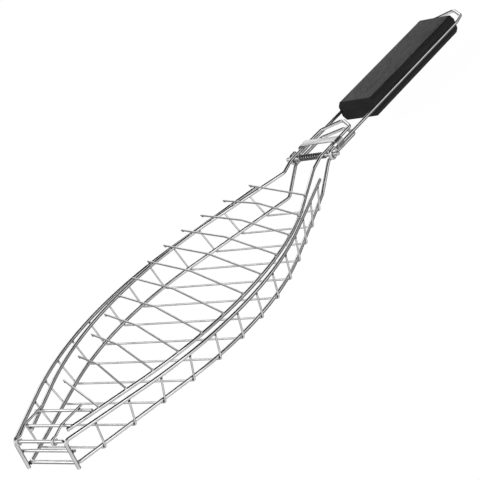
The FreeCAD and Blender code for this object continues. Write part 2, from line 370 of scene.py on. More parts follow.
@dataclass(frozen=True)
class ScaleSection:
    """Half of the grip across, from its flat parting face to its very slightly crowned top.

    A groove for the wire lies at each edge of the parting face, then comes an upright side and
    a bevel. The corners between these faces are rounded by edge_r. Where the end of the grip is
    rounded, the top's edge, the shoulder and the groove move in by a share of the inset.
    """

    half_width: float
    top_half_width: float
    height: float
    shoulder: float
    groove_x: float
    groove_r: float
    parting_gap: float
    edge_r: float = 0.9
    crown: float = 0.12
    top_share: float = 0.7
    shoulder_share: float = 0.5
    groove_share: float = 1 / 3
    face_steps: int = 12
    arc_steps: int = 5

    def loop(self, inset: float) -> Array:
        """The section's outline, drawn in by inset, anticlockwise from the parting face.

        Args:
            inset: how far every face but the parting face is moved inwards.

        Returns:
            The outline's points as (side, up) pairs.
        """
        side_x = self.half_width - inset
        top_x = self.top_half_width - self.top_share * inset
        top = self.height - inset
        groove_r = self.groove_r + self.groove_share * inset
        first = math.asin(self.parting_gap / groove_r)
        last = math.acos((side_x - self.groove_x) / groove_r)
        turn = np.linspace(math.pi - first, last, self.arc_steps + 1)
        groove = np.column_stack([np.cos(turn), np.sin(turn)]) * groove_r + (self.groove_x, 0.0)
        shoulder = (side_x, self.shoulder - self.shoulder_share * inset)
        corners = np.array([groove[-1], shoulder, (top_x, top), (0.0, top)])
        rounded = [self._rounded(corners[i], corners[i + 1], corners[i + 2]) for i in (0, 1)]
        share = np.linspace(0.0, 1.0, self.face_steps // 2 + 1)[1:, None]
        face = rounded[1][-1] + (corners[3] - rounded[1][-1]) * share
        face[:, 1] += self.crown * (1 - (face[:, 0] / top_x) ** 2)
        half = np.vstack([groove, *rounded, face])
        other = half[::-1][1:] * (-1, 1)
        under = np.linspace(groove[0] * (-1, 1), groove[0], self.face_steps + 1)[1:-1]
        return np.vstack([half, other, under])

    def _rounded(self, before: Array, corner: Array, after: Array) -> Array:
        """Points of the curve that rounds one corner: a parabola that touches both faces.

        Args:
            before: the corner before this one.
            corner: the corner that is rounded.
            after: the corner after it.

        Returns:
            The curve's points, from the face before to the face after.
        """
        back, ahead = unit(before - corner), unit(after - corner)
        half_angle = math.acos(float(back @ ahead)) / 2
        reach = self.edge_r / math.tan(half_angle)
        start, end = corner + back * reach, corner + ahead * reach
        share = np.linspace(0.0, 1.0, self.arc_steps + 1)[:, None]
        return start * (1 - share) ** 2 + 2 * corner * share * (1 - share) + end * share**2


Section = RoundWire | RolledStrip | ScaleSection


@dataclass
class Surface:
    """Closed mesh as arrays: its points, the points of each face, and its flat positions.

    A flat position is (share of the way round, distance along), with one for each corner of
    each face. heat has a value for each point.
    """

    points: Array
    quads: NDArray[np.int64]
    triangles: NDArray[np.int64]
    quad_uv: Array
    triangle_uv: Array
    heat: Array

    def warmed(self, welds: Array, spread: float) -> "Surface":
        """The surface with its heat set: one at a weld, falling off as a bell curve.

        Args:
            welds: W places of welds.
            spread: distance over which the heat tint fades.

        Returns:
            This surface.
        """
        nearest = np.full(len(self.points), np.inf)
        for weld in welds:
            nearest = np.minimum(nearest, ((self.points - weld) ** 2).sum(axis=1))
        self.heat = np.exp(-nearest / spread**2)
        return self


def joined(parts: list[Surface]) -> Surface:
    """Several closed surfaces as one mesh.

    Args:
        parts: the surfaces, which stay closed and apart.

    Returns:
        One surface that holds them all.
    """
    starts = np.concatenate([[0], np.cumsum([len(p.points) for p in parts])[:-1]])
    return Surface(
        np.vstack([p.points for p in parts]),
        np.vstack([p.quads + s for p, s in zip(parts, starts)]),
        np.vstack([p.triangles + s for p, s in zip(parts, starts)]),
        np.vstack([p.quad_uv for p in parts]),
        np.vstack([p.triangle_uv for p in parts]),
        np.concatenate([p.heat for p in parts]),
    )


class WireEnd(Enum):
    """The radius that rounds the edge at an end of a wire, strip or grip scale.

    For a round wire it is a share of the wire's own radius, and otherwise it is a length.
    """

    SHEARED = 0.3
    DOMED = 0.85
    SOFT_EDGE = 0.9
    THIN_EDGE = 0.2


END_STEPS = 5


def swept(section: Section, route: Route, end: WireEnd = WireEnd.SHEARED) -> Surface:
    """Carries a section along a route: place + a side + b up for each (a, b) of its outline.

    An open route's ends are closed: the outline is drawn in along a quarter circle, and a
    flat cap joins the last ring to one point in the middle.

    Args:
        section: what is carried.
        route: where it goes.
        end: how the two ends are rounded.

    Returns:
        The closed surface, without heat.
    """
    places, along, side = route.places, route.along, route.side
    insets = np.zeros(len(places))
    if not route.closed:
        depth = end.value * (section.radius if isinstance(section, RoundWire) else 1.0)
        quarter = np.linspace(0.0, math.pi / 2, END_STEPS + 1)
        inset = depth * (1 - np.cos(quarter))
        back = (depth * (1 - np.sin(quarter)))[:, None]
        first = places[0] + along[0] * back[::-1]
        last = places[-1] - along[-1] * back
        places = np.vstack([first, places[1:-1], last])
        ends = len(quarter)
        along = np.vstack([along[:1].repeat(ends, 0), along[1:-1], along[-1:].repeat(ends, 0)])
        side = np.vstack([side[:1].repeat(ends, 0), side[1:-1], side[-1:].repeat(ends, 0)])
        insets = np.concatenate([inset[::-1], insets[1:-1], inset])
    up = np.cross(along, side)
    levels, which = np.unique(insets.round(6), return_inverse=True)
    loops = np.stack([section.loop(float(level)) for level in levels])[which]
    rings = places[:, None] + loops[..., :1] * side[:, None] + loops[..., 1:] * up[:, None]
    run = np.concatenate([[0.0], np.cumsum(np.linalg.norm(np.diff(places, axis=0), axis=1))])
    return gridded(rings, run, places[[0, -1]], route.closed)


def gridded(rings: Array, run: Array, ends: Array, closed: bool = False) -> Surface:
    """Faces and flat positions of a tube-like grid of rings.

    Args:
        rings: rings of points, anticlockwise as seen from the last ring.
        run: distance along at each ring.
        ends: middles of the first and the last ring, where the caps' middle points go.
        closed: whether the last ring joins the first; otherwise both ends get a cap.

    Returns:
        The closed surface, without heat.
    """
    count, sides = rings.shape[:2]
    last = count if closed else count - 1
    row, column = np.meshgrid(np.arange(last), np.arange(sides), indexing="ij")
    next_row, next_column = (row + 1) % count, (column + 1) % sides
    quads = np.stack(
        [
            row * sides + column,
            row * sides + next_column,
            next_row * sides + next_column,
            next_row * sides + column,
        ],
        axis=-1,
    ).reshape(-1, 4)
    run_end = np.append(run, run[-1] + np.linalg.norm(ends[0] - ends[1]))
    u = np.stack([column, column + 1, column + 1, column], axis=-1) / sides
    v = np.stack([run_end[row], run_end[row], run_end[row + 1], run_end[row + 1]], axis=-1)
    quad_uv = np.stack([u, v], axis=-1).reshape(-1, 2)
    points = rings.reshape(-1, 3)
    if closed:
        nothing = np.zeros((0, 3), int)
        return Surface(points, quads, nothing, quad_uv, np.zeros((0, 2)), np.zeros(len(points)))
    points = np.vstack([points, ends])
    start_pole, end_pole = len(points) - 2, len(points) - 1
    j = np.arange(sides)
    following = (j + 1) % sides
    top = (count - 1) * sides
    start_cap = np.column_stack([np.full(sides, start_pole), following, j])
    end_cap = np.column_stack([np.full(sides, end_pole), j + top, following + top])
    start_u = np.stack([j + 0.5, j + 1, j], axis=-1) / sides
    start_v = np.broadcast_to(run[0] - np.array([1, 0, 0]), start_u.shape)
    end_u = np.stack([j + 0.5, j, j + 1], axis=-1) / sides
    end_v = np.broadcast_to(run[-1] + np.array([1, 0, 0]), end_u.shape)
    cap_uv = np.stack([np.vstack([start_u, end_u]), np.vstack([start_v, end_v])], axis=-1)
    triangles = np.vstack([start_cap, end_cap])
    return Surface(points, quads, triangles, quad_uv, cap_uv.reshape(-1, 2), np.zeros(len(points)))


@dataclass(frozen=True)
class Weld:
    """One spot weld: its middle, the two wires' directions and how big its bead is."""

    place: Array
    along_thin: Array
    along_heavy: Array
    size: float = 1.0


@dataclass(frozen=True)
class WeldBeads:
    """Small lumps of squeezed-out metal at the spot welds.

    Each is a squashed ball: radius times (1 + two low waves round it) times (1 + one from pole
    to pole), longest along the thin wire and least from wire to wire. The waves' phases come
    from a seeded generator, so that no two beads are the same.
    """

    seed: int
    long: float = 1.75
    wide: float = 1.35
    deep: float = 1.0
    lump: float = 0.14
    rows: int = 8
    sides: int = 12

    def surface(self, welds: list[Weld]) -> Surface:
        """All the beads of one body as one mesh.

        Args:
            welds: where the beads go.

        Returns:
            Closed lumps, one for each weld.
        """
        phases = np.random.default_rng(self.seed).uniform(0, 2 * math.pi, (len(welds), 3))
        return joined([self._bead(weld, phase) for weld, phase in zip(welds, phases)])

    def _bead(self, weld: Weld, phase: Array) -> Surface:
        """One closed lump: a grid of latitude rows and columns, with a point at each pole.

        Args:
            weld: where the lump goes, which way it lies and how big it is.
            phase: phases of its three waves.

        Returns:
            The closed lump.
        """
        latitude = np.linspace(0, math.pi, self.rows + 2)[1:-1, None]
        longitude = np.linspace(0, 2 * math.pi, self.sides, endpoint=False)[None]
        waves = np.sin(2 * longitude + phase[0]) + np.sin(3 * longitude + phase[1])
        radius = 1 + self.lump * np.sin(latitude) * waves / 2
        radius = radius * (1 + self.lump / 2 * np.cos(2 * latitude + phase[2]))
        ball = np.stack(
            [
                radius * np.sin(latitude) * np.cos(longitude) * self.long,
                radius * np.sin(latitude) * np.sin(longitude) * self.wide,
                -radius * np.cos(latitude) * np.ones_like(longitude) * self.deep,
            ],
            axis=-1,
        )
        first = unit(weld.along_thin)
        third = unit(np.cross(weld.along_thin, weld.along_heavy))
        second = np.cross(third, first)
        axes = np.stack([first, second, third])
        rings = weld.place + weld.size * ball @ axes
        poles = weld.place + weld.size * np.array([[0, 0, -self.deep], [0, 0, self.deep]]) @ axes
        return gridded(rings, np.arange(self.rows, dtype=float), poles)


# ---------------------------------------------------------------- materials


UV_NAME = "wrap"
HEAT_NAME = "heat"
MIXED_COLOURS = (6, 7)
MIXED_RESULT = 2
Colour = tuple[float, float, float, float]
Socket = bpy.types.NodeSocket


class NodeBench:
    """Adds and joins the nodes of one material."""

    def __init__(self, name: str) -> None:
        """Starts an empty material whose shader is already joined to its output."""
        self.material = bpy.data.materials.new(name)
        self.material.use_nodes = True
        self.tree = self.material.node_tree
        self.tree.nodes.clear()
        self.shader = self.tree.nodes.new("ShaderNodeBsdfPrincipled")
        output = self.tree.nodes.new("ShaderNodeOutputMaterial")
        self.tree.links.new(self.shader.outputs["BSDF"], output.inputs["Surface"])

    def node(self, kind: str, **inputs: object) -> bpy.types.Node:
        """A new node with some of its inputs set or joined.

        Args:
            kind: Blender's name of the node type, without the leading "ShaderNode".
            inputs: input name, with _ for a space, to a value or to another node's output.

        Returns:
            The node.
        """
        made = self.tree.nodes.new("ShaderNode" + kind)
        for name, value in inputs.items():
            self.feed(made.inputs[name.replace("_", " ")], value)
        return made

    def feed(self, socket: Socket, value: object) -> None:
        """Sets a socket's value, or joins an output to it.

        Args:
            socket: the input.
            value: a number, a colour or another node's output.
        """
        if isinstance(value, Socket):
            self.tree.links.new(value, socket)
        else:
            socket.default_value = value

    def place(self, along: float = 1.0) -> Socket:
        """Object coordinates, squeezed along Y so that a pattern on them is drawn out."""
        found = self.node("TexCoord").outputs["Object"]
        return self.node("Mapping", Vector=found, Scale=(1.0, along, 1.0)).outputs["Vector"]

    def flat(self, around: float, along: float) -> Socket:
        """The piece's own flat coordinates.

        Args:
            around: units once round the piece.
            along: units in a metre along it.

        Returns:
            The coordinates.
        """
        found = self.node("UVMap")
        found.uv_map = UV_NAME
        mapping = self.node("Mapping", Vector=found.outputs["UV"], Scale=(around, along, 1.0))
        return mapping.outputs["Vector"]

    def noise(self, vector: Socket, scale: float, detail: float = 3.0) -> Socket:
        """Smooth noise from 0 to 1, of a given fineness and so many finer layers."""
        made = self.node("TexNoise", Vector=vector, Scale=scale, Detail=detail)
        return made.outputs["Fac"]

    def ranged(self, value: Socket, low: float, high: float, to_low: float, to_high: float) -> Socket:
        """A value stretched from one range to another, and kept inside it.

        Args:
            value: what is stretched.
            low: value that becomes to_low.
            high: value that becomes to_high.
            to_low: result at low and below.
            to_high: result at high and above.

        Returns:
            The stretched value.
        """
        made = self.node(
            "MapRange", Value=value, From_Min=low, From_Max=high, To_Min=to_low, To_Max=to_high
        )
        return made.outputs["Result"]

    def sums(self, kind: str, first: object, second: object) -> Socket:
        """Two numbers added, multiplied or otherwise worked together.

        Args:
            kind: Blender's name of the operation.
            first: a number or an output.
            second: a number or an output.

        Returns:
            The result.
        """
        made = self.tree.nodes.new("ShaderNodeMath")
        made.operation = kind
        self.feed(made.inputs[0], first)
        self.feed(made.inputs[1], second)
        return made.outputs[0]

    def blend(self, share: object, first: object, second: object) -> Socket:
        """A colour between two others.

        Args:
            share: how much of the second colour there is, from 0 to 1.
            first: a colour or an output.
            second: a colour or an output.

        Returns:
            The mixed colour.
        """
        made = self.tree.nodes.new("ShaderNodeMix")
        made.data_type = "RGBA"
        self.feed(made.inputs["Factor"], share)
        for index, colour in zip(MIXED_COLOURS, (first, second)):
            self.feed(made.inputs[index], colour)
        return made.outputs[MIXED_RESULT]

    def heat(self) -> Socket:
        """How close each point is to a weld or an edge, from 0 to 1."""
        made = self.node("Attribute")
        made.attribute_name = HEAT_NAME
        return made.outputs["Fac"]

    def bump(
        self, height: Socket, strength: float, depth: float, under: Socket | None = None
    ) -> Socket:
        """A bump, over another one if that is given.

        Args:
            height: where it is high and low, from 0 to 1.
            strength: how much of it shows.
            depth: height from 0 to 1 in metres.
            under: the bump that it lies on.

        Returns:
            The bumpy surface's direction.
        """
        made = self.node("Bump", Height=height, Strength=strength, Distance=depth)
        if under is not None:
            self.feed(made.inputs["Normal"], under)
        return made.outputs["Normal"]

    def shade(self, **inputs: object) -> None:
        """Sets or joins inputs of the material's shader."""
        for name, value in inputs.items():
            self.feed(self.shader.inputs[name.replace("_", " ")], value)


@dataclass(frozen=True)
class BrightWire:
    """Bright plated wire: fine draw lines along it, cloudy polish, a dull burnt tint by welds."""

    name: str
    bright: Colour = (0.83, 0.83, 0.84, 1.0)
    cloudy: Colour = (0.66, 0.66, 0.67, 1.0)
    burnt: Colour = (0.16, 0.145, 0.13, 1.0)
    polish: tuple[float, float] = (0.07, 0.17)
    burnt_roughness: float = 0.3
    cloud_scale: float = 160.0
    grit_scale: float = 1900.0
    line_scale: float = 4.0
    lines_around: float = 9.0
    lines_along: float = 12.0
    draw_strength: float = 0.2
    draw_depth: float = 0.00004
    pit_strength: float = 0.12
    pit_depth: float = 0.00005

    def make(self) -> bpy.types.Material:
        """Builds the material."""
        bench = NodeBench(self.name)
        whole = bench.place()
        clouds = bench.noise(whole, self.cloud_scale, detail=4.0)
        grit = bench.noise(whole, self.grit_scale, detail=2.0)
        lines = bench.noise(bench.flat(self.lines_around, self.lines_along), self.line_scale, detail=4.0)
        heat = bench.heat()
        stain = bench.sums("MULTIPLY", heat, bench.ranged(clouds, 0.3, 0.7, 0.55, 1.0))
        base = bench.blend(bench.ranged(clouds, 0.4, 0.75, 0.0, 0.8), self.bright, self.cloudy)
        base = bench.blend(bench.ranged(lines, 0.55, 0.8, 0.0, 0.35), base, self.cloudy)
        colour = bench.blend(stain, base, self.burnt)
        polish = bench.ranged(clouds, 0.35, 0.7, *self.polish)
        rough = bench.sums("ADD", polish, bench.sums("MULTIPLY", stain, self.burnt_roughness))
        pits = bench.bump(grit, self.pit_strength, self.pit_depth)
        drawn = bench.bump(lines, self.draw_strength, self.draw_depth, pits)
        bench.shade(Base_Color=colour, Roughness=rough, Normal=drawn, Metallic=1.0)
        return bench.material


@dataclass(frozen=True)
class WeldMetal:
    """Once-molten bead: dark oxide with bare steel showing through in spots, pitted."""

    name: str
    oxide: Colour = (0.03, 0.029, 0.028, 1.0)
    straw: Colour = (0.13, 0.122, 0.112, 1.0)
    steel: Colour = (0.36, 0.36, 0.37, 1.0)
    tint_scale: float = 420.0
    pit_scale: float = 2600.0
    pit_strength: float = 0.5
    pit_depth: float = 0.0001

    def make(self) -> bpy.types.Material:
        """Builds the material."""
        bench = NodeBench(self.name)
        whole = bench.place()
        tint = bench.noise(whole, self.tint_scale)
        pits = bench.noise(whole, self.pit_scale)
        warm = bench.blend(bench.ranged(tint, 0.35, 0.5, 0.0, 1.0), self.oxide, self.straw)
        colour = bench.blend(bench.ranged(tint, 0.55, 0.7, 0.0, 1.0), warm, self.steel)
        rough = bench.ranged(pits, 0.3, 0.7, 0.3, 0.62)
        pitted = bench.bump(pits, self.pit_strength, self.pit_depth)
        bench.shade(Base_Color=colour, Roughness=rough, Normal=pitted, Metallic=1.0)
        return bench.material


@dataclass(frozen=True)
class BrushedSteel:
    """Turned or rolled steel: fine lines along the piece, with a few deeper scratches."""

    name: str
    light: Colour
    dark: Colour
    roughness: tuple[float, float]
    lines_around: float
    lines_along: float
    anisotropy: float = 0.5
    worn: Colour = (0.9, 0.9, 0.9, 1.0)
    wear: float = 0.75
    cloud_scale: float = 240.0
    line_scale: float = 6.0
    scratch_scale: float = 3.0
    fewer_around: float = 0.4
    more_along: float = 2.5
    bump_strength: float = 0.3
    line_depth: float = 0.00004
    scratch_depth: float = 0.00005

    def make(self) -> bpy.types.Material:
        """Builds the material."""
        bench = NodeBench(self.name)
        lines = bench.noise(bench.flat(self.lines_around, self.lines_along), self.line_scale, detail=5.0)
        sparse = bench.flat(self.lines_around * self.fewer_around, self.lines_along * self.more_along)
        scratches = bench.noise(sparse, self.scratch_scale, detail=6.0)
        clouds = bench.noise(bench.place(), self.cloud_scale)
        edge = bench.heat()
        base = bench.blend(bench.ranged(lines, 0.35, 0.7, 0.0, 1.0), self.light, self.dark)
        base = bench.blend(bench.ranged(clouds, 0.5, 0.75, 0.0, 0.4), base, self.dark)
        colour = bench.blend(bench.sums("MULTIPLY", edge, self.wear), base, self.worn)
        rough = bench.ranged(lines, 0.3, 0.7, *self.roughness)
        fine = bench.bump(lines, self.bump_strength, self.line_depth)
        cuts = bench.ranged(scratches, 0.68, 0.75, 1.0, 0.0)
        deep = bench.bump(cuts, self.bump_strength, self.scratch_depth, fine)
        bench.shade(Base_Color=colour, Roughness=rough, Normal=deep, Metallic=1.0)
        bench.shade(Anisotropic=self.anisotropy)
        return bench.material


@dataclass(frozen=True)
class StainedWood:
    """Black-stained hardwood: year rings round a far-off heart, long fibres and short pores.

    The rings are circles about a line along Y that passes beside the grip, so that they show
    as long streaks on its faces and as arcs on its ends.
    """

    name: str
    stain: Colour = (0.0042, 0.0041, 0.0040, 1.0)
    early_wood: Colour = (0.026, 0.0254, 0.0248, 1.0)
    worn: Colour = (0.03, 0.029, 0.028, 1.0)
    pore: Colour = (0.002, 0.002, 0.002, 1.0)
    gloss: float = 0.22
    pore_roughness: float = 0.25
    heart: tuple[float, float] = (0.034, -0.021)
    heart_lean: tuple[float, float] = (0.02, 0.035)
    ring_scale: float = 150.0
    fibre_scale: float = 1300.0
    fibre_squeeze: float = 0.035
    pore_scale: float = 2400.0
    pore_squeeze: float = 0.09
    patch_scale: float = 75.0
    patch_squeeze: float = 0.3
    ring_depth: float = 0.00012
    fibre_depth: float = 0.00010
    pore_depth: float = 0.00012

    def make(self) -> bpy.types.Material:
        """Builds the material."""
        bench = NodeBench(self.name)
        found = bench.node("TexCoord").outputs["Object"]
        heart = (-self.heart[0], 0.0, -self.heart[1])
        lean = (self.heart_lean[0], 0.0, self.heart_lean[1])
        centred = bench.node("Mapping", Vector=found, Location=heart, Rotation=lean)
        wave = bench.node(
            "TexWave",
            Vector=centred.outputs["Vector"],
            Scale=self.ring_scale,
            Distortion=5.0,
            Detail=3.0,
            Detail_Scale=0.35,
        )
        wave.wave_type = "RINGS"
        wave.rings_direction = "Y"
        rings = wave.outputs["Fac"]
        fibres = bench.noise(bench.place(self.fibre_squeeze), self.fibre_scale, detail=4.0)
        pores = bench.noise(bench.place(self.pore_squeeze), self.pore_scale, detail=2.0)
        patches = bench.noise(bench.place(self.patch_squeeze), self.patch_scale)
        pore_mask = bench.ranged(pores, 0.6, 0.68, 0.0, 1.0)
        grain = bench.sums("MULTIPLY", bench.ranged(rings, 0.2, 0.9, 0.0, 0.7), fibres)
        grain = bench.sums("ADD", grain, bench.ranged(fibres, 0.4, 0.75, 0.0, 0.45))
        base = bench.blend(grain, self.stain, self.early_wood)
        base = bench.blend(bench.ranged(patches, 0.45, 0.7, 0.0, 0.45), base, self.early_wood)
        base = bench.blend(bench.ranged(rings, 0.6, 0.95, 0.0, 0.45), base, self.early_wood)
        worn = bench.sums("MULTIPLY", bench.heat(), bench.ranged(patches, 0.35, 0.65, 0.15, 0.8))
        base = bench.blend(worn, base, self.worn)
        colour = bench.blend(pore_mask, base, self.pore)
        dull_pores = bench.sums("MULTIPLY", pore_mask, self.pore_roughness)
        rough = bench.sums("ADD", bench.ranged(fibres, 0.3, 0.7, 0.34, 0.5), dull_pores)
        ring_bump = bench.bump(rings, 0.22, self.ring_depth)
        fibre_bump = bench.bump(fibres, 0.4, self.fibre_depth, ring_bump)
        between_pores = bench.sums("SUBTRACT", 1.0, pore_mask)
        normal = bench.bump(between_pores, 0.4, self.pore_depth, fibre_bump)
        bench.shade(Base_Color=colour, Roughness=rough, Normal=normal, Metallic=0.0)
        bench.shade(Specular_IOR_Level=self.gloss)
        return bench.material


Finish = BrightWire | WeldMetal | BrushedSteel | StainedWood


class Finishes:
    """Makes each slot's material once, and hands it out by the slot's name."""

    def __init__(self) -> None:
        """Names the finish of every slot."""
        self.by_slot: dict[str, Finish] = {
            "frame_wire": BrightWire("bright heavy wire"),
            "rib_wire": BrightWire(
                "bright thin wire", polish=(0.1, 0.24), lines_around=5.0, cloudy=(0.6, 0.6, 0.61, 1.0)
            ),
            "cross_wire": BrightWire("bright cross bar", polish=(0.06, 0.15)),
            "pin_steel": BrushedSteel(
                "turned pin",
                light=(0.74, 0.74, 0.75, 1.0),
                dark=(0.5, 0.5, 0.5, 1.0),
                roughness=(0.2, 0.36),
                lines_around=3.0,
                lines_along=700.0,
            ),
            "spring_steel": BrushedSteel(
                "oiled spring wire",
                light=(0.3, 0.3, 0.31, 1.0),
                dark=(0.1, 0.1, 0.1, 1.0),
                roughness=(0.25, 0.42),
                lines_around=8.0,
                lines_along=30.0,
            ),
            "clip_sheet": BrushedSteel(
                "satin rolled sheet",
                light=(0.76, 0.76, 0.76, 1.0),
                dark=(0.58, 0.58, 0.59, 1.0),
                roughness=(0.28, 0.42),
                lines_around=30.0,
                lines_along=8.0,
            ),
            "grip_wood": StainedWood("black stained wood"),
            "weld": WeldMetal("weld bead"),
        }
        self.made: dict[str, bpy.types.Material] = {}

    def material(self, slot: str) -> bpy.types.Material:
        """The slot's material, made the first time it is asked for."""
        if slot not in self.made:
            self.made[slot] = self.by_slot[slot].make()
        return self.made[slot]


# ---------------------------------------------------------------- writing pieces


SHARP_ANGLE = math.radians(38.0)


def write_mesh(name: str, surface: Surface) -> bpy.types.Mesh:
    """Puts a surface's arrays into a new mesh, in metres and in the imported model's frame.

    Args:
        name: the mesh's name.
        surface: what to write, in millimetres from the hinge bar.

    Returns:
        The mesh, shaded smooth, with its flat coordinates and heat.
    """
    mesh = bpy.data.meshes.new(name)
    points = (surface.points + HINGE_SHIFT) * MM
    corners = np.concatenate([surface.quads.ravel(), surface.triangles.ravel()])
    sizes = np.concatenate([np.full(len(surface.quads), 4), np.full(len(surface.triangles), 3)])
    mesh.vertices.add(len(points))
    mesh.vertices.foreach_set("co", points.astype(np.float32).ravel())
    mesh.loops.add(len(corners))
    mesh.loops.foreach_set("vertex_index", corners.astype(np.int32))
    mesh.polygons.add(len(sizes))
    mesh.polygons.foreach_set("loop_start", (np.cumsum(sizes) - sizes).astype(np.int32))
    mesh.polygons.foreach_set("loop_total", sizes.astype(np.int32))
    mesh.update(calc_edges=True)
    mesh.polygons.foreach_set("use_smooth", np.ones(len(sizes), bool))
    mesh.set_sharp_from_angle(angle=SHARP_ANGLE)
    flat = np.vstack([surface.quad_uv, surface.triangle_uv]) * np.array([1.0, MM])
    layer = mesh.uv_layers.new(name=UV_NAME)
    layer.data.foreach_set("uv", flat.astype(np.float32).ravel())
    heat = mesh.attributes.new(HEAT_NAME, "FLOAT", "POINT")
    heat.data.foreach_set("value", surface.heat.astype(np.float32))
    mesh.validate()
    return mesh


class Workshop:
    """Turns surfaces into pieces that ride on their bodies."""

    def __init__(self) -> None:
        """Starts with no pieces."""
        self.finishes = Finishes()
        self.count = 0

    def stand_in(self, node: str, surface: Surface) -> bpy.types.Object:
        """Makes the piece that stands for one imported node.

        Args:
            node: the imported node's name.
            surface: the piece's shape.

        Returns:
            The piece, with its node hidden.
        """
        slot = NODE_SLOT[node]
        piece = self.piece(f"{node}_finished", surface, NODE_BODY[node], slot, finish=slot)
        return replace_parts(piece, node)

    def piece(self, name: str, surface: Surface, body: str, slot: str, finish: str) -> bpy.types.Object:
        """Makes an object, dresses it, and lets it ride on its body.

        Args:
            name: the object's and the mesh's name.
            surface: its shape.
            body: the moving body that it belongs to.
            slot: a material slot's name; not used.
            finish: which finish it wears.

        Returns:
            The object.
        """
        piece = bpy.data.objects.new(name, write_mesh(name, surface))
        bpy.context.scene.collection.objects.link(piece)
        piece.data.materials.append(self.finishes.material(finish))
        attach(piece, body)
        self.count += 1
        LOG.info("%s rides on %s: %d points", name, body, len(surface.points))
        return piece


# ---------------------------------------------------------------- the basket


def straight_bar(node: str, sides: int = 24, step: float = 1.5) -> tuple[RoundWire, Route]:
    """Section and route of a bar that lies across the basket, from its packed box.

    Args:
        node: the bar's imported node.
        sides: points round the bar.
        step: longest distance between stations.

    Returns:
        The section and the route.
    """
    box = node_box(node)
    ends = np.array([box.middle - box.half * X_AXIS, box.middle + box.half * X_AXIS])
    return RoundWire(box.half[1], sides), bent_route(ends, [], step)


@dataclass(frozen=True)
class NeckSizes:
    """Where the two tongues rise and end, along Y, half their widths and their bends."""

    climb_top: float = 368.2
    lid_step: float = 362.0
    shoulder: float = 411.0
    point: float = 423.3
    lid_shoulder: float = 411.5
    lid_point: float = 424.6
    lower_x: float = 17.0
    lid_x: float = 15.2
    climb_bend: float = 7.0
    lid_bend: float = 12.0
    shoulder_bend: float = 5.0
    point_bend: float = 4.0


NECK = NeckSizes()


@dataclass(frozen=True)
class BeadSizes:
    """Size of the weld bead at each kind of joint."""

    rib_on_base: float = 0.85
    rib_under_rim: float = 0.78
    hinge_bar: float = 0.62
    tail_bar: float = 0.95
    pin: float = 0.8
    lid_rib: float = 0.62
    lid_bar: float = 0.9
    hook: float = 0.72


BEADS = BeadSizes()


@dataclass
class WeldedHalf:
    """What the basket and the lid share: wires with a bead and a heat tint at every weld."""

    workshop: Workshop
    step: float = 1.5
    rib_step: float = 1.0
    rib_sides: int = 14
    heat_spread: float = 2.6
    welds: list[Weld] = field(default_factory=list)

    def finish(self, node: str, surface: Surface) -> None:
        """Tints the surface near the welds noted so far, and makes the piece."""
        places = np.array([weld.place for weld in self.welds])
        self.workshop.stand_in(node, surface.warmed(places, self.heat_spread))

    def finish_beads(self, body: str, seed: int) -> None:
        """Makes all the beads of this half as one piece."""
        beads = WeldBeads(seed).surface(self.welds)
        self.workshop.piece(f"{body}_weld_beads", beads, body, slot="frame_wire", finish="weld")


